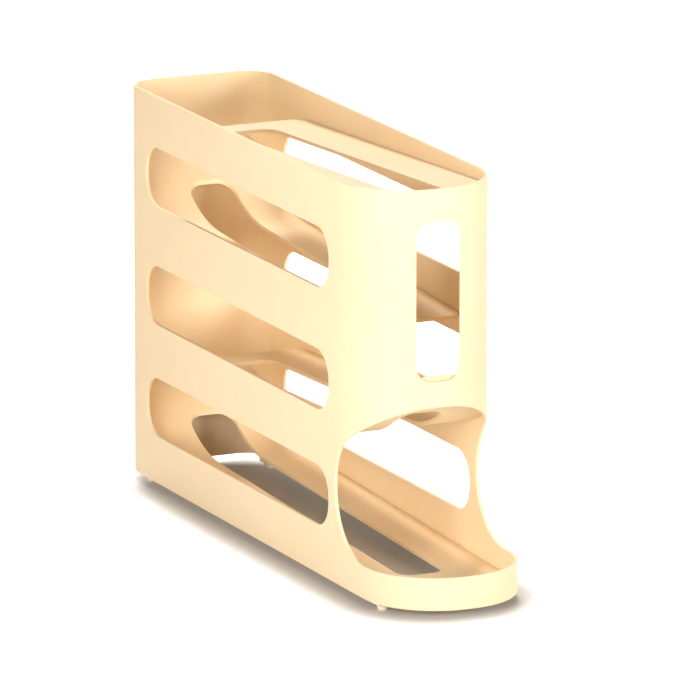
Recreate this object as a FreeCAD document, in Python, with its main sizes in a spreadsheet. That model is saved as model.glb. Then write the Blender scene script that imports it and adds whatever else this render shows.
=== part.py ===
import FreeCAD, Part
import math
import os

import Sketcher
from FreeCAD import Vector

# A four-tier rolling storage box for the kitchen. Its load goes in along the open top, rolls down
# four tracks that fall by turns to the back and to the front, and stops in the lip at the front.
# X runs across the box, the front faces -Y, and Z = 0 is the surface that the feet stand on.

doc = FreeCAD.newDocument("rolling_storage_box")

# Driving dimensions in millimetres, and slopes in degrees. Heights are measured from the bottom edge
# of the shell where their note names no other place.
sizes = {
    # the shell and its lip
    "shell_width": 88.0,
    "shell_length": 330.4,  # round front to back face, without the lip
    "shell_height": 226.7,
    "wall": 2.0,
    "front_radius": 41.0,  # upright corners of the front and of the lip
    "back_radius": 19.0,
    "edge_round": 0.6,  # softened edges of the rim and the openings
    "lip_reach": 39.6,  # how far the lip stands out in front of the shell
    "lip_height": 18.6,
    # the mouth over the lip
    "mouth_top": 26.4,  # top of the arch, above the floor of the third track
    "mouth_slope": 34.5,  # fall of the arch towards the back, seen from the side
    "mouth_radius": 36.0,
    "mouth_setback": 0.4,  # rear edge of the mouth, behind the rounding of the front
    # three windows in each side, and the upright one in the front
    "window_length": 248.2,
    "window_height": 34.0,
    "window_round": 15.5,
    "window_inset": 32.3,  # back face to the rear end of the windows
    "low_sill": 18.1,  # each sill above the floor of the track behind it
    "middle_sill": 15.6,
    "high_sill": 18.6,
    "front_window_width": 26.5,
    "front_window_height": 89.5,
    "front_window_drop": 1.9,  # how far it sits below half way from the mouth to the rim
    "front_window_round": 9.0,
    # the four tracks, evenly spaced but for one, at the middle of the box
    "trough_depth": 12.1,  # rim to the floor of the top track
    "second_drop": 2.2,  # how far the second track lies below its even place
    "bottom_height": 9.9,
    "top_fall": 16.0,  # how far each floor falls over the length of the shell
    "second_fall": 15.4,
    "third_fall": 11.1,
    "bottom_fall": 10.7,
    "track_thickness": 2.0,
    "track_gap": 0.3,  # clearance between a track and the walls
    "track_round": 8.0,  # corners of a track's free end
    "drop_gap": 56.0,  # clear length where the load drops to the next track
    "slot_width": 28.0,  # long slot in the middle of each track
    "slot_round": 9.0,
    "slot_margin": 18.0,  # solid floor left beyond a slot at a wall
    "slot_end": 20.0,  # solid floor left beyond a slot at a free end
    "lip_floor": 56.0,  # solid floor in the lip
    "ramp_slope": 60.0,  # upswept end of a track, which catches the load as it drops
    "ramp_radius": 80.0,
    "ramp_reach": 22.0,  # end of the track to the bend of its upswept end
    # what carries the tracks and the shell
    "ledge_width": 2.0,
    "ledge_height": 2.0,
    "ledge_margin": 10.0,  # clear wall between a ledge and the free end of its track
    "ledge_setback": 68.0,  # the same at an upswept end
    "foot_diameter": 8.0,  # where it meets the shell
    "foot_tip": 5.4,  # diameter at the floor
    "foot_height": 4.0,
    "foot_round": 0.6,
    "foot_inset": 7.0,  # side of the shell to the middle of a foot
    "foot_front": 33.0,  # front of the lip to the middle of a front foot
    "foot_back": 24.0,  # back face to the middle of a back foot
    "seat_diameter": 12.0,  # flat seat in the shell above a foot
    "seat_thickness": 1.4,
}

sheet = doc.addObject("Spreadsheet::Sheet", "dim")
for row, (alias, value) in enumerate(sizes.items(), start=1):
    sheet.set(f"A{row}", alias)
    sheet.set(f"B{row}", str(value))
    sheet.setAlias(f"B{row}", alias)
doc.recompute()


# A radius that could outgrow the wall, the bend or the opening that it rounds is held to a share of
# it. The mouth's two roundings share its rise, with a little left between them.
corner_share = 0.47
edge_share = 0.35
bend_share = 0.95
mouth_low_share = 0.64
mouth_high_share = 0.34
mouth_split_share = 0.01

same_place = 0.01  # places closer than this are one and the same
sharp_turn = math.radians(20)  # faces that meet at more than this make an edge


def level(height):
    """Height above the floor, of a height above the shell's bottom edge."""
    return f"(dim.foot_height + {height})"


def arch_at(along):
    """Height of the sloping arch over the mouth, at a place along the box."""
    fall = f"tan(dim.mouth_slope * 1deg) * ({along} - {shell_front})"
    return f"({level(arch_top)} - {fall})"


# Where the floors of the tracks lie at the middle of the box.
tier_pitch = "((dim.shell_height - dim.trough_depth - dim.bottom_height) / 3)"
floors = {
    "top": "(dim.shell_height - dim.trough_depth)",
    "second": f"(dim.bottom_height + 2 * {tier_pitch} - dim.second_drop)",
    "third": f"(dim.bottom_height + {tier_pitch})",
    "bottom": "dim.bottom_height",
}
window_tiers = {"low_sill": "bottom", "middle_sill": "third", "high_sill": "second"}
arch_top = f"({floors['third']} + dim.mouth_top)"
front_window_middle = f"(({arch_top} + dim.shell_height) / 2 - dim.front_window_drop)"

# Formulas that several pieces share.
half_width = "(dim.shell_width / 2)"
inner_half = "(dim.shell_width / 2 - dim.wall)"
track_half = f"({inner_half} - dim.track_gap)"
back_face = "((dim.shell_length + dim.lip_reach) / 2)"
lip_front = "(-(dim.shell_length + dim.lip_reach) / 2)"
shell_front = "((dim.lip_reach - dim.shell_length) / 2)"
front_round = f"min(dim.front_radius; {corner_share} * dim.shell_width)"
back_round = f"min(dim.back_radius; {corner_share} * dim.shell_width)"
inset = "(dim.wall + dim.track_gap)"
mouth_back = f"({shell_front} + {front_round} + dim.mouth_setback)"
mouth_sill = level("dim.lip_height")
mouth_rise = f"({arch_at(mouth_back)} - {mouth_sill})"
mouth_low_round = f"min(dim.mouth_radius; {mouth_low_share} * {mouth_rise})"
mouth_turn = "((90 - dim.mouth_slope) / 2 * 1deg)"
mouth_high_round = f"min(dim.mouth_radius; {mouth_high_share} * {mouth_rise} / tan({mouth_turn}))"
wall_split = f"({mouth_sill} + {mouth_low_round} + {mouth_split_share} * {mouth_rise})"
window_round = f"min(dim.window_round; {corner_share} * dim.window_height)"
window_back = f"({back_face} - dim.window_inset)"
window_front = f"max({window_back} - dim.window_length; {mouth_back} + 2 * dim.wall)"
front_window_round = f"min(dim.front_window_round; {corner_share} * dim.front_window_width)"
slot_round = f"min(dim.slot_round; {corner_share} * dim.slot_width)"

# The middle of each foot.
foot_rows = {"front": f"({lip_front} + dim.foot_front)", "back": f"({back_face} - dim.foot_back)"}
foot_places = {}
for end, along in foot_rows.items():
    for side, sign in (("left", "-1"), ("right", "1")):
        foot_places[f"foot_{end}_{side}"] = (f"({sign} * ({half_width} - dim.foot_inset))", along)

# Where the tracks run: the sign of the slope (1 rises to the back, so that the load rolls to the
# front), the end that sweeps up (-1 front, 1 back, 0 neither), both ends with their rounding, the
# solid floor left at both ends of the middle slot, and both ends of the ledges.
at_wall_front = f"({shell_front} + {inset})"
at_lip_front = f"({lip_front} + {inset})"
at_wall_back = f"({back_face} - {inset})"
before_front_drop = f"({shell_front} + dim.wall + dim.drop_gap)"
before_back_drop = f"({back_face} - dim.wall - dim.drop_gap)"
fitted_front_round = f"({front_round} - {inset})"
fitted_back_round = f"({back_round} - {inset})"
tracks = {
    "top": {
        "rise": -1, "ramp": 0,
        "front": at_wall_front, "front_round": fitted_front_round, "slot_front": "dim.slot_margin",
        "back": before_back_drop, "back_round": "dim.track_round", "slot_back": "dim.slot_end",
        "ledge_front": f"({shell_front} + {front_round})",
        "ledge_back": f"({before_back_drop} - dim.ledge_margin)",
    },
    "second": {
        "rise": 1, "ramp": 1,
        "front": before_front_drop, "front_round": "dim.track_round", "slot_front": "dim.slot_end",
        "back": at_wall_back, "back_round": fitted_back_round, "slot_back": "dim.slot_margin",
        "ledge_front": f"({before_front_drop} + dim.ledge_margin)",
        "ledge_back": f"({at_wall_back} - dim.ledge_setback)",
    },
    "third": {
        "rise": -1, "ramp": -1,
        "front": at_wall_front, "front_round": fitted_front_round, "slot_front": "dim.slot_margin",
        "back": before_back_drop, "back_round": "dim.track_round", "slot_back": "dim.slot_end",
        "ledge_front": f"({at_wall_front} + dim.ledge_setback)",
        "ledge_back": f"({before_back_drop} - dim.ledge_margin)",
    },
    "bottom": {
        "rise": 1, "ramp": 1,
        "front": at_lip_front, "front_round": fitted_front_round, "slot_front": "dim.lip_floor",
        "back": at_wall_back, "back_round": fitted_back_round, "slot_back": "dim.slot_margin",
        "ledge_front": f"({lip_front} + {front_round})",
        "ledge_back": f"({at_wall_back} - dim.ledge_setback)",
    },
}


def tilt_of(tier):
    return f"atan(dim.{tier}_fall / dim.shell_length)"


def slope_of(tier):
    return f"({tracks[tier]['rise']} * dim.{tier}_fall / dim.shell_length)"


def floor_at(tier, along):
    """Height of a track's floor at a place along the box."""
    return f"({level(floors[tier])} + {slope_of(tier)} * {along})"


def underside_at(tier, along):
    return f"({floor_at(tier, along)} - dim.track_thickness / cos({tilt_of(tier)}))"


def number(formula):
    return float(sheet.evalExpression(formula))


def origin_plane(body, role):
    return next(item for item in body.Origin.OriginFeatures if item.Role == role)


def new_body(label):
    body = doc.addObject("PartDesign::Body", label)
    body.Label = label
    return body


def new_sketch(body, name, role, offset="0"):
    """Sketch on one of the body's own origin planes, moved along the plane's normal."""
    sketch = body.newObject("Sketcher::SketchObject", name)
    sketch.AttachmentSupport = [(origin_plane(body, role), "")]
    sketch.MapMode = "FlatFace"
    sketch.setExpression("AttachmentOffset.Base.z", offset)
    return sketch


def bind(sketch, constraint, name, formula):
    index = sketch.addConstraint(constraint)
    sketch.renameConstraint(index, name)
    sketch.setExpression(f"Constraints.{name}", formula)


def pin_point(sketch, geometry, position, name, across, up):
    """Hold one point of a sketch at its two distances from the origin."""
    for kind, formula in (("DistanceX", across), ("DistanceY", up)):
        constraint = Sketcher.Constraint(kind, -1, 1, geometry, position, number(formula))
        bind(sketch, constraint, f"{name}_{kind}", formula)


def add_outline(sketch, name, corners):
    """Closed outline through corners given as (across, up, radius); a radius of "0" is sharp."""
    spots = [Vector(number(across), number(up), 0) for across, up, radius in corners]
    radii = [number(radius) for across, up, radius in corners]
    starts, ends, arcs = [], [], []
    for i, spot in enumerate(spots):
        to_last = (spots[i - 1] - spot).normalize()
        to_next = (spots[(i + 1) % len(spots)] - spot).normalize()
        half_angle = to_last.getAngle(to_next) / 2
        reach = radii[i] / math.tan(half_angle)
        ends.append(spot + to_last * reach)
        starts.append(spot + to_next * reach)
        left_turn = to_last.cross(to_next).z < 0
        arc = None
        if radii[i] > 0:
            middle = spot + (to_last + to_next).normalize() * (radii[i] / math.sin(half_angle))
            first, last = (ends[i], starts[i]) if left_turn else (starts[i], ends[i])
            angles = [math.atan2(place.y - middle.y, place.x - middle.x) for place in (first, last)]
            circle = Part.Circle(middle, Vector(0, 0, 1), radii[i])
            arc = sketch.addGeometry(Part.ArcOfCircle(circle, *angles))
        arcs.append((arc, left_turn))
    lines = []
    for i, start in enumerate(starts):
        lines.append(sketch.addGeometry(Part.LineSegment(start, ends[(i + 1) % len(ends)])))

    for i, (across, up, radius) in enumerate(corners):
        point = sketch.addGeometry(Part.Point(spots[i]), True)
        pin_point(sketch, point, 1, f"{name}_{i}", across, up)
        arc, left_turn = arcs[i]
        if arc is None:
            sketch.addConstraint(Sketcher.Constraint("Coincident", lines[i - 1], 2, point, 1))
            sketch.addConstraint(Sketcher.Constraint("Coincident", lines[i], 1, point, 1))
            continue
        first, last = (1, 2) if left_turn else (2, 1)
        sketch.addConstraint(Sketcher.Constraint("PointOnObject", point, 1, lines[i - 1]))
        sketch.addConstraint(Sketcher.Constraint("PointOnObject", point, 1, lines[i]))
        sketch.addConstraint(Sketcher.Constraint("Tangent", lines[i - 1], 2, arc, first))
        sketch.addConstraint(Sketcher.Constraint("Tangent", arc, last, lines[i], 1))
        bind(sketch, Sketcher.Constraint("Radius", arc, radii[i]), f"{name}_{i}_Radius", radius)


def add_rectangle(sketch, name, low, high, low_round="0", high_round="0"):
    """Rectangle between two corners, with one radius for its lower and one for its upper corners."""
    add_outline(sketch, name, [
        (low[0], low[1], low_round),
        (high[0], low[1], low_round),
        (high[0], high[1], high_round),
        (low[0], high[1], high_round),
    ])


def add_circle(sketch, name, across, up, diameter):
    middle = Vector(number(across), number(up), 0)
    circle = sketch.addGeometry(Part.Circle(middle, Vector(0, 0, 1), number(diameter) / 2))
    pin_point(sketch, circle, 3, name, across, up)
    bind(sketch, Sketcher.Constraint("Diameter", circle, number(diameter)), f"{name}_Diameter", diameter)


def add_feature(body, kind, name, sketch, length, side="One side", backwards=False):
    """Pad or Pocket of a sketch. A pocket that misses the solid is an error."""
    before = body.Shape.Volume if kind == "Pocket" else 0.0
    feature = body.newObject(f"PartDesign::{kind}", name)
    feature.Profile = sketch
    feature.SideType = side
    feature.Reversed = backwards
    feature.setExpression("Length", length)
    doc.recompute()
    if kind == "Pocket" and feature.Shape.Volume > before - same_place:
        raise ValueError(f"{name} cuts nothing")
    return feature


def add_fillet(body, name, base, chosen, radius):
    feature = body.newObject("PartDesign::Fillet", name)
    feature.Base = (base, [f"Edge{i}" for i, edge in enumerate(base.Shape.Edges, start=1)
                           if chosen(base.Shape, edge)])
    feature.setExpression("Radius", radius)
    doc.recompute()
    return feature


def depth_in_wall(place):
    """How far a place lies inside the outer skin of the shell, measured on plan."""
    front = number(lip_front if place.z < number(wall_split) else shell_front)
    if place.y < 0:
        radius = number(front_round)
        beyond_y = front + radius - place.y
    else:
        radius = number(back_round)
        beyond_y = place.y - number(back_face) + radius
    beyond_x = abs(place.x) - number(half_width) + radius
    corner = math.hypot(max(beyond_x, 0), max(beyond_y, 0)) + min(max(beyond_x, beyond_y), 0)
    return radius - corner


def is_opening_edge(shape, edge):
    """True for a sharp edge along one skin of the wall: at the rim, the bottom or an opening."""
    span = edge.LastParameter - edge.FirstParameter
    places = [edge.valueAt(edge.FirstParameter + share * span) for share in (0.1, 0.5, 0.9)]
    depths = [depth_in_wall(place) for place in places]
    skin = 0.0 if depths[1] < number("dim.wall") / 2 else number("dim.wall")
    if max(abs(depth - skin) for depth in depths) > same_place:
        return False
    normals = []
    for face in shape.ancestorsOfType(edge, Part.Face):
        normals.append(face.normalAt(*face.Surface.parameter(places[1])))
    return normals[0].getAngle(normals[1]) > sharp_turn


def make_shell():
    body = new_body("outer_shell")
    rim = level("dim.shell_height")
    for name, front, base, top in (
        ("lower_wall", lip_front, "dim.foot_height", wall_split),
        ("upper_wall", shell_front, wall_split, rim),
    ):
        sketch = new_sketch(body, f"{name}_plan", "XY_Plane", base)
        add_rectangle(sketch, "outer", (f"-{half_width}", front), (half_width, back_face),
                      front_round, back_round)
        add_rectangle(sketch, "inner", (f"-{inner_half}", f"{front} + dim.wall"),
                      (inner_half, f"{back_face} - dim.wall"),
                      f"{front_round} - dim.wall", f"{back_round} - dim.wall")
        add_feature(body, "Pad", name, sketch, f"{top} - {base}")

    sketch = new_sketch(body, "side_windows_outline", "YZ_Plane")
    for name, tier in window_tiers.items():
        sill = f"{floors[tier]} + dim.{name}"
        add_rectangle(sketch, name, (window_front, level(sill)),
                      (window_back, level(f"{sill} + dim.window_height")), window_round, window_round)
    add_feature(body, "Pocket", "side_windows", sketch, "dim.shell_width * 2", "Symmetric")

    sketch = new_sketch(body, "front_window_outline", "XZ_Plane", f"-{shell_front} - {front_round}")
    window_sill = level(f"{front_window_middle} - dim.front_window_height / 2")
    window_top = level(f"{front_window_middle} + dim.front_window_height / 2")
    add_rectangle(sketch, "window", ("-dim.front_window_width / 2", window_sill),
                  ("dim.front_window_width / 2", window_top), front_window_round, front_window_round)
    add_feature(body, "Pocket", "front_window", sketch, "dim.front_radius * 2", backwards=True)

    sketch = new_sketch(body, "mouth_outline", "YZ_Plane")
    clear_front = f"({lip_front} - dim.lip_reach)"
    add_outline(sketch, "mouth", [
        (clear_front, mouth_sill, "0"),
        (mouth_back, mouth_sill, mouth_low_round),
        (mouth_back, arch_at(mouth_back), mouth_high_round),
        (clear_front, arch_at(clear_front), "0"),
    ])
    mouth = add_feature(body, "Pocket", "mouth", sketch, "dim.shell_width * 2", "Symmetric")
    add_fillet(body, "soft_edges", mouth, is_opening_edge,
               f"min(dim.edge_round; {edge_share} * dim.wall)")

    sketch = new_sketch(body, "ledge_sides", "YZ_Plane", f"-{inner_half} - dim.wall / 2")
    for tier, track in tracks.items():
        front, back = track["ledge_front"], track["ledge_back"]
        add_outline(sketch, tier, [
            (front, f"{underside_at(tier, front)} - dim.ledge_height", "0"),
            (back, f"{underside_at(tier, back)} - dim.ledge_height", "0"),
            (back, underside_at(tier, back), "0"),
            (front, underside_at(tier, front), "0"),
        ])
    near_ledges = add_feature(body, "Pad", "near_ledges", sketch, "dim.ledge_width + dim.wall / 2")
    far_ledges = body.newObject("PartDesign::Mirrored", "far_ledges")
    far_ledges.Originals = [near_ledges]
    far_ledges.MirrorPlane = (origin_plane(body, "YZ_Plane"), [""])
    body.Tip = far_ledges
    doc.recompute()

    sketch = new_sketch(body, "foot_seat_plan", "XY_Plane", "dim.foot_height")
    for name, (across, along) in foot_places.items():
        add_circle(sketch, name, across, along, "dim.seat_diameter")
    add_feature(body, "Pad", "foot_seats", sketch, "dim.seat_thickness")
    return body


def side_view(tier, front, back):
    """Side view of a sloping track, from its underside round to its floor."""
    ramp = tracks[tier]["ramp"]
    low = [(front, underside_at(tier, front), "0"), (back, underside_at(tier, back), "0")]
    high = [(back, floor_at(tier, back), "0"), (front, floor_at(tier, front), "0")]
    if ramp == 0:
        return low + high

    # The upswept end replaces one end of both lines by a steep line and a rounded bend.
    steep = f"({ramp} * tan(dim.ramp_slope * 1deg))"
    low_bend = f"({tracks[tier]['back' if ramp > 0 else 'front']} - {ramp} * dim.ramp_reach)"
    ramp_depth = "(dim.track_thickness / cos(dim.ramp_slope * 1deg))"

    def ramp_at(along):
        return f"({underside_at(tier, low_bend)} + {steep} * ({along} - {low_bend}))"

    high_bend = f"(({ramp_at('0')} + {ramp_depth} - {floor_at(tier, '0')}) / ({slope_of(tier)} - {steep}))"
    half_turn = f"((dim.ramp_slope * 1deg - {tilt_of(tier)}) / 2)"
    straight = "((dim.ramp_reach + dim.wall) / cos(dim.ramp_slope * 1deg))"
    low_round = f"min(dim.ramp_radius; {bend_share} * {straight} / tan({half_turn}))"
    low_corner = (low_bend, underside_at(tier, low_bend), low_round)
    high_corner = (high_bend, floor_at(tier, high_bend), f"{low_round} - dim.track_thickness")
    end = back if ramp > 0 else front
    low_end = (end, ramp_at(end), "0")
    high_end = (end, f"{ramp_at(end)} + {ramp_depth}", "0")
    if ramp > 0:
        return [low[0], low_corner, low_end, high_end, high_corner, high[1]]
    return [low_end, low_corner, low[1], high[0], high_corner, high_end]


def make_track(tier):
    """A track is drawn from the side, longer and wider than it is, then trimmed to its plan."""
    track = tracks[tier]
    front, back = track["front"], track["back"]
    body = new_body(f"{tier}_track")
    sketch = new_sketch(body, f"{tier}_side", "YZ_Plane")
    add_outline(sketch, "side", side_view(tier, f"({front} - dim.wall)", f"({back} + dim.wall)"))
    add_feature(body, "Pad", f"{tier}_floor", sketch, "dim.shell_width", "Symmetric")

    sketch = new_sketch(body, f"{tier}_plan", "XY_Plane")
    add_rectangle(sketch, "waste", ("-dim.shell_width", f"{front} - dim.shell_width"),
                  ("dim.shell_width", f"{back} + dim.shell_width"))
    add_rectangle(sketch, "plan", (f"-{track_half}", front), (track_half, back),
                  track["front_round"], track["back_round"])
    add_rectangle(sketch, "slot", ("-dim.slot_width / 2", f"{front} + {track['slot_front']}"),
                  ("dim.slot_width / 2", f"{back} - {track['slot_back']}"), slot_round, slot_round)
    add_feature(body, "Pocket", f"{tier}_trim", sketch, "dim.shell_height * 4", "Symmetric")
    return body


def make_foot(label, across, along):
    """A foot widens from the floor to its seat under the shell."""
    body = new_body(label)
    sketch = new_sketch(body, f"{label}_plan", "XY_Plane")
    add_circle(sketch, "foot", "0", "0", "dim.foot_tip")
    pad = add_feature(body, "Pad", f"{label}_pad", sketch, "dim.foot_height")
    widening = "(dim.foot_diameter - dim.foot_tip) / 2"
    pad.setExpression("TaperAngle", f"atan({widening} / dim.foot_height)")
    doc.recompute()
    add_fillet(body, f"{label}_rounding", pad, is_floor_edge,
               "min(dim.foot_round; dim.foot_height / 2; dim.foot_tip / 4)")
    body.setExpression("Placement.Base.x", across)
    body.setExpression("Placement.Base.y", along)
    return body


def is_floor_edge(shape, edge):
    return edge.BoundBox.ZMax < same_place


pieces = [make_shell()]
for tier in tracks:
    pieces.append(make_track(tier))
for label, (across, along) in foot_places.items():
    pieces.append(make_foot(label, across, along))
doc.recompute()

for item in doc.Objects:
    if "Invalid" in item.State or "Error" in item.State:
        raise ValueError(f"{item.Label} could not be solved")
os.makedirs("parts", exist_ok=True)
for piece in pieces:
    if piece.Shape.isNull() or not piece.Shape.isValid() or len(piece.Shape.Solids) != 1:
        raise ValueError(f"{piece.Label} is not one sound solid")
    piece.Shape.exportStep(f"parts/{piece.Label}.step")
    box = piece.Shape.optimalBoundingBox(False, False)
    print(f"{piece.Label}: {box.XLength:.2f} x {box.YLength:.2f} x {box.ZLength:.2f} mm,"
          f" from z {box.ZMin:.2f}, volume {piece.Shape.Volume / 1000:.2f} cm3")
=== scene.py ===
import math

import bpy
from mathutils import Matrix, Vector

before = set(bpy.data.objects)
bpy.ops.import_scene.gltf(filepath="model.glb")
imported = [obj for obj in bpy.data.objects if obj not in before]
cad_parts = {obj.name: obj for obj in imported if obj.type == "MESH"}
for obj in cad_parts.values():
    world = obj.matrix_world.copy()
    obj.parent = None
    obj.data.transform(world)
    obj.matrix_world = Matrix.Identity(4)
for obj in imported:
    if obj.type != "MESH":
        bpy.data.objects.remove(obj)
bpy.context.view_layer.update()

print("frame loaded:", len(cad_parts), "pieces")


def addNode(tree, kind, **settings):
    node = tree.nodes.new(kind)
    for name, value in settings.items():
        setattr(node, name, value)
    return node


# an output socket is linked, and anything else becomes the input's own value
def plug(tree, socket, source):
    if isinstance(source, bpy.types.NodeSocket):
        tree.links.new(source, socket)
    else:
        socket.default_value = source


# inputs by name, with an underscore for each space
def feed(tree, target, **sources):
    for name, source in sources.items():
        plug(tree, target.inputs[name.replace("_", " ")], source)


def newGroup(name, inputs, outputs):
    tree = bpy.data.node_groups.new(name, "ShaderNodeTree")
    for label, kind, value in inputs:
        socket = tree.interface.new_socket(name=label, in_out="INPUT", socket_type=kind)
        socket.default_value = value
    for label, kind in outputs:
        tree.interface.new_socket(name=label, in_out="OUTPUT", socket_type=kind)
    return tree, tree.nodes.new("NodeGroupInput"), tree.nodes.new("NodeGroupOutput")


def addNoise(tree, place, scale, detail, roughness=0.5):
    noise = addNode(tree, "ShaderNodeTexNoise")
    feed(tree, noise, Vector=place, Scale=scale, Detail=detail, Roughness=roughness)
    return noise.outputs["Fac"]


def addMath(tree, operation, first, second=0.0):
    node = addNode(tree, "ShaderNodeMath", operation=operation)
    for socket, source in zip(node.inputs, (first, second)):
        plug(tree, socket, source)
    return node.outputs[0]


# eases a value from one span of numbers to another
def addRange(tree, value, span, target=(0.0, 1.0)):
    node = addNode(tree, "ShaderNodeMapRange", interpolation_type="SMOOTHSTEP")
    feed(tree, node, Value=value, From_Min=span[0], From_Max=span[1],
         To_Min=target[0], To_Max=target[1])
    return node.outputs["Result"]


# the colour sockets of a mix node share their names with other kinds, so they go by number
mixSockets = {"share": 0, "first": 6, "second": 7, "result": 2}


def addMix(tree, share, first, second):
    node = addNode(tree, "ShaderNodeMix", data_type="RGBA")
    plug(tree, node.inputs[mixSockets["share"]], share)
    plug(tree, node.inputs[mixSockets["first"]], first)
    plug(tree, node.inputs[mixSockets["second"]], second)
    return node.outputs[mixSockets["result"]]


def objectPlace(tree, stretch=(1.0, 1.0, 1.0)):
    coordinates = addNode(tree, "ShaderNodeTexCoord")
    mapping = addNode(tree, "ShaderNodeMapping")
    feed(tree, mapping, Vector=coordinates.outputs["Object"], Scale=stretch)
    return mapping.outputs["Vector"]


pureWhite = (1.0, 1.0, 1.0, 1.0)

# fine spark-eroded grain of the mould, with a slow waviness under it
mouldGrain = {
    "name": "mouldGrain", "grainScale": 1400.0, "waveShare": 0.5,
    "grain": {"detail": 3.0, "roughness": 0.6},
    "wave": {"scale": 38.0, "detail": 1.0},
    "patches": {"scale": 55.0, "detail": 2.0},
    "maskSpan": (0.1, 0.4),  # the part of the mask's values that the roughness follows
}


def makeMouldGrain(look):
    tree, given, result = newGroup(
        look["name"],
        [("Grain Scale", "NodeSocketFloat", look["grainScale"]),
         ("Wave Share", "NodeSocketFloat", look["waveShare"])],
        [("Height", "NodeSocketFloat"), ("Mask", "NodeSocketFloat")],
    )
    place = objectPlace(tree)
    grain = addNoise(tree, place, given.outputs["Grain Scale"], **look["grain"])
    wave = addNoise(tree, place, **look["wave"])
    waveHeight = addMath(tree, "MULTIPLY", wave, given.outputs["Wave Share"])
    patches = addNoise(tree, place, **look["patches"])
    feed(tree, result, Height=addMath(tree, "ADD", grain, waveHeight),
         Mask=addMath(tree, "MULTIPLY", grain, patches))
    return tree


# slow drift of the pigment through the moulding, with a few fine specks
toneDrift = {
    "name": "toneDrift",
    "slow": {"scale": 11.0, "detail": 2.0}, "slowSpan": (0.3, 0.7),
    "fine": {"scale": 620.0, "detail": 2.0, "roughness": 0.7}, "fineSpan": (0.66, 0.78),
    "speckShare": (0.0, 0.35),
}


def makeToneDrift(look):
    tree, given, result = newGroup(
        look["name"],
        [(label, "NodeSocketColor", pureWhite) for label in ("Light", "Deep", "Speck")],
        [("Color", "NodeSocketColor")],
    )
    slow = addNoise(tree, objectPlace(tree), **look["slow"])
    fine = addNoise(tree, objectPlace(tree), **look["fine"])
    drift = addMix(tree, addRange(tree, slow, look["slowSpan"]),
                   given.outputs["Light"], given.outputs["Deep"])
    specks = addRange(tree, fine, look["fineSpan"], look["speckShare"])
    feed(tree, result, Color=addMix(tree, specks, drift, given.outputs["Speck"]))
    return tree


# faint rub marks, drawn out along the box where the load rolls
rubMarks = {
    "name": "rubMarks", "amount": 1.0, "stretch": (1.0, 0.05, 1.0),
    "streaks": {"scale": 420.0, "detail": 3.0, "roughness": 0.6}, "streakSpan": (0.5, 0.72),
    "patches": {"scale": 22.0, "detail": 2.0}, "patchSpan": (0.42, 0.7),
}


def makeRubMarks(look):
    tree, given, result = newGroup(
        look["name"],
        [("Amount", "NodeSocketFloat", look["amount"])],
        [("Mask", "NodeSocketFloat")],
    )
    streaks = addNoise(tree, objectPlace(tree, look["stretch"]), **look["streaks"])
    patches = addNoise(tree, objectPlace(tree), **look["patches"])
    marks = addMath(tree, "MULTIPLY", addRange(tree, streaks, look["streakSpan"]),
                    addRange(tree, patches, look["patchSpan"]))
    feed(tree, result, Mask=addMath(tree, "MULTIPLY", marks, given.outputs["Amount"]))
    return tree


groups = {"grain": makeMouldGrain(mouldGrain), "tone": makeToneDrift(toneDrift),
          "rub": makeRubMarks(rubMarks)}
print("node groups:", ", ".join(sorted(groups)))


def useGroup(tree, name, **values):
    node = addNode(tree, "ShaderNodeGroup", node_tree=groups[name])
    feed(tree, node, **values)
    return node


def makePlastic(look):
    material = bpy.data.materials.new(look["name"])
    material.use_nodes = True
    tree = material.node_tree
    shader = tree.nodes["Principled BSDF"]

    tone = useGroup(tree, "tone", Light=look["light"], Deep=look["deep"], Speck=look["speck"])
    grain = useGroup(tree, "grain", Grain_Scale=look["grainScale"], Wave_Share=look["waveShare"])
    rub = useGroup(tree, "rub", Amount=look["rubAmount"])

    color = addMix(tree, rub.outputs["Mask"], tone.outputs["Color"], look["rubColor"])
    dull = addRange(tree, grain.outputs["Mask"], mouldGrain["maskSpan"], look["rough"])
    shine = addMath(tree, "MULTIPLY", rub.outputs["Mask"], look["rubShine"])
    bump = addNode(tree, "ShaderNodeBump")
    feed(tree, bump, Strength=look["bumpStrength"], Distance=look["bumpDepth"],
         Height=grain.outputs["Height"])
    feed(tree, shader, Base_Color=color, Roughness=addMath(tree, "SUBTRACT", dull, shine),
         Normal=bump.outputs["Normal"], IOR=look["ior"],
         Subsurface_Weight=look["glow"], Subsurface_Radius=look["glowRadius"],
         Subsurface_Scale=look["glowDepth"])
    return material


shellLook = {
    "name": "shellPlastic",
    "light": (0.955, 0.755, 0.495, 1), "deep": (0.94, 0.73, 0.465, 1), "speck": (0.89, 0.67, 0.41, 1),
    "grainScale": 1500.0, "waveShare": 0.6, "bumpStrength": 0.12, "bumpDepth": 0.0003,
    "rough": (0.5, 0.64), "ior": 1.44,
    "rubAmount": 0.12, "rubColor": (0.95, 0.82, 0.6, 1), "rubShine": 0.05,
    "glow": 0.25, "glowRadius": (1.0, 0.45, 0.2), "glowDepth": 0.0012,
}
trackLook = {
    "name": "trackPlastic",
    "light": (0.945, 0.735, 0.47, 1), "deep": (0.925, 0.705, 0.435, 1), "speck": (0.86, 0.63, 0.37, 1),
    "grainScale": 1500.0, "waveShare": 0.4, "bumpStrength": 0.14, "bumpDepth": 0.0003,
    "rough": (0.56, 0.7), "ior": 1.42,
    "rubAmount": 0.25, "rubColor": (0.95, 0.8, 0.57, 1), "rubShine": 0.06,
    "glow": 0.25, "glowRadius": (1.0, 0.45, 0.2), "glowDepth": 0.0012,
}
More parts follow.
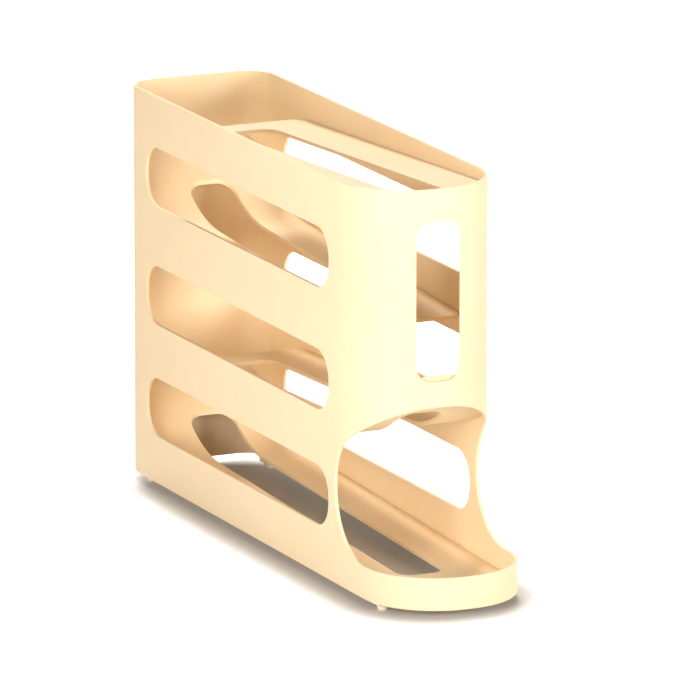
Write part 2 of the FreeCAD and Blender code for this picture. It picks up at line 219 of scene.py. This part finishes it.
footLook = {
    "name": "footPad",
    "light": (0.93, 0.8, 0.63, 1), "deep": (0.88, 0.74, 0.56, 1), "speck": (0.66, 0.53, 0.38, 1),
    "grainScale": 2400.0, "waveShare": 0.2, "bumpStrength": 0.3, "bumpDepth": 0.0002,
    "rough": (0.62, 0.86), "ior": 1.5,
    "rubAmount": 0.4, "rubColor": (0.78, 0.66, 0.5, 1), "rubShine": -0.05,  # rubbing dulls a foot
    "glow": 0.05, "glowRadius": (1.0, 0.5, 0.3), "glowDepth": 0.001,
}

# each look goes to the pieces whose name holds its word
looks = {"outer": makePlastic(shellLook), "track": makePlastic(trackLook), "foot": makePlastic(footLook)}
for name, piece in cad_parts.items():
    kind = next(word for word in looks if word in name)
    piece.data.materials.clear()
    piece.data.materials.append(looks[kind])
print("materials:", ", ".join(material.name for material in looks.values()))


studio = {
    "floorSize": 12.0, "floorColor": (0.64, 0.615, 0.58, 1), "floorShine": 0.1,
    "cloud": {"scale": 3.0, "detail": 3.0}, "cloudSpan": (0.3, 0.7), "floorRough": (0.82, 0.9),
    # painted shade: the floor glows white except within a reach of a strip under the object, and the
    # glow fades in over a span, so a band of shade is painted around the object and the lamps' real
    # shadow shows inside it
    "paintedShadeMiddle": (0.0, -0.0055), "paintedShadeHalf": (0.004, 0.1355),
    "paintedShadeFade": (0.043, 0.067), "glowPastPaintedShade": (0.03, 1.0),
    "domeColor": (1.0, 0.985, 0.965, 1), "domeStrength": 0.265,
}


# seen by the camera, in a reflection or through the object
def seenDirectly(tree):
    path = addNode(tree, "ShaderNodeLightPath")
    seen = addMath(tree, "MAXIMUM", path.outputs["Is Camera Ray"], path.outputs["Is Glossy Ray"])
    return addMath(tree, "MAXIMUM", seen, path.outputs["Is Transmission Ray"])


# how far a place on the floor lies from the strip of painted shade
def distanceFromPaintedShade(tree, place):
    parts = addNode(tree, "ShaderNodeSeparateXYZ")
    feed(tree, parts, Vector=place)
    beyond = addNode(tree, "ShaderNodeCombineXYZ")
    for axis, middle, half in zip("XY", studio["paintedShadeMiddle"], studio["paintedShadeHalf"]):
        offset = addMath(tree, "SUBTRACT", parts.outputs[axis], middle)
        outside = addMath(tree, "SUBTRACT", addMath(tree, "ABSOLUTE", offset), half)
        plug(tree, beyond.inputs[axis], addMath(tree, "MAXIMUM", outside))
    distance = addNode(tree, "ShaderNodeVectorMath", operation="LENGTH")
    feed(tree, distance, Vector=beyond.outputs["Vector"])
    return distance.outputs["Value"]


def makeFloor():
    bpy.ops.mesh.primitive_plane_add(size=studio["floorSize"], location=(0, 0, 0))
    floor = bpy.context.object
    floor.name = "studioFloor"
    material = bpy.data.materials.new("paleFloor")
    material.use_nodes = True
    tree = material.node_tree
    place = addNode(tree, "ShaderNodeTexCoord").outputs["Object"]
    cloud = addNoise(tree, place, **studio["cloud"])
    # painted shade: the floor's glow drops near the object, which darkens the floor there
    glow = addRange(tree, distanceFromPaintedShade(tree, place), studio["paintedShadeFade"], studio["glowPastPaintedShade"])
    feed(tree, tree.nodes["Principled BSDF"], Base_Color=studio["floorColor"],
         Roughness=addRange(tree, cloud, studio["cloudSpan"], studio["floorRough"]),
         Specular_IOR_Level=studio["floorShine"], Emission_Color=pureWhite,
         Emission_Strength=addMath(tree, "MULTIPLY", seenDirectly(tree), glow))
    floor.data.materials.append(material)


# the dome lights the object softly, and is plain white where it is seen
def makeDome():
    world = bpy.data.worlds.new("studioDome")
    bpy.context.scene.world = world
    world.use_nodes = True
    tree = world.node_tree
    tree.nodes.clear()
    dome = addNode(tree, "ShaderNodeBackground")
    feed(tree, dome, Color=studio["domeColor"], Strength=studio["domeStrength"])
    white = addNode(tree, "ShaderNodeBackground")
    feed(tree, white, Color=pureWhite, Strength=1.0)
    mix = addNode(tree, "ShaderNodeMixShader")
    for socket, source in zip(mix.inputs, (seenDirectly(tree), dome.outputs[0], white.outputs[0])):
        plug(tree, socket, source)
    feed(tree, addNode(tree, "ShaderNodeOutputWorld"), Surface=mix.outputs[0])


def addLamp(lamp):
    data = bpy.data.lights.new(lamp["name"], "AREA")
    data.shape = "RECTANGLE"
    data.size, data.size_y = lamp["size"]
    data.energy = lamp["watts"]
    data.color = lamp["color"]
    light = bpy.data.objects.new(lamp["name"], data)
    bpy.context.scene.collection.objects.link(light)
    place = Vector(lamp["place"])
    aim = Vector(lamp["aim"]) - place
    light.matrix_world = Matrix.Translation(place) @ aim.to_track_quat("-Z", "Y").to_matrix().to_4x4()


keyLamp = {"name": "keyLamp", "place": (1.2, -2.2, 0.6), "aim": (0.0, -0.1, 0.12),
           "size": (1.4, 0.9), "watts": 47.0, "color": (1.0, 0.99, 0.97)}
fillLamp = {"name": "fillLamp", "place": (-0.76, -0.58, 0.28), "aim": (-0.04, -0.08, 0.09),
            "size": (0.6, 0.4), "watts": 7.2, "color": (1.0, 0.98, 0.95)}
topLamp = {"name": "topLamp", "place": (0.4, 1.2, 2.2), "aim": (0.0, 0.0, 0.1),
           "size": (0.8, 0.8), "watts": 46.0, "color": (1.0, 0.99, 0.97)}

makeFloor()
makeDome()
for lamp in (keyLamp, fillLamp, topLamp):
    addLamp(lamp)
print("studio: floor, dome and lamps")


# angles in degrees, with azimuth 0 straight in front
cameraView = {"name": "photoCamera", "azimuth": -24.878, "elevation": 13.597, "roll": -0.067,
              "distance": 5.3487, "target": (0.00094, -0.02707, 0.11458),
              "lens": 493.8, "sensor": 36.0, "clipEnd": 100.0}


def makeCamera(view):
    turn, tilt, roll = (math.radians(view[angle]) for angle in ("azimuth", "elevation", "roll"))
    back = Vector((math.sin(turn) * math.cos(tilt), -math.cos(turn) * math.cos(tilt), math.sin(tilt)))
    right = Vector((math.cos(turn), math.sin(turn), 0.0))
    frameAxes = Matrix((right, back.cross(right), back)).transposed().to_4x4()
    data = bpy.data.cameras.new(view["name"])
    data.sensor_width = view["sensor"]
    data.lens = view["lens"]
    data.clip_end = view["clipEnd"]
    camera = bpy.data.objects.new(view["name"], data)
    bpy.context.scene.collection.objects.link(camera)
    place = Vector(view["target"]) + back * view["distance"]
    camera.matrix_world = Matrix.Translation(place) @ frameAxes @ Matrix.Rotation(-roll, 4, "Z")
    bpy.context.scene.camera = camera


makeCamera(cameraView)
bpy.context.scene.view_settings.view_transform = "Standard"
print("camera placed")
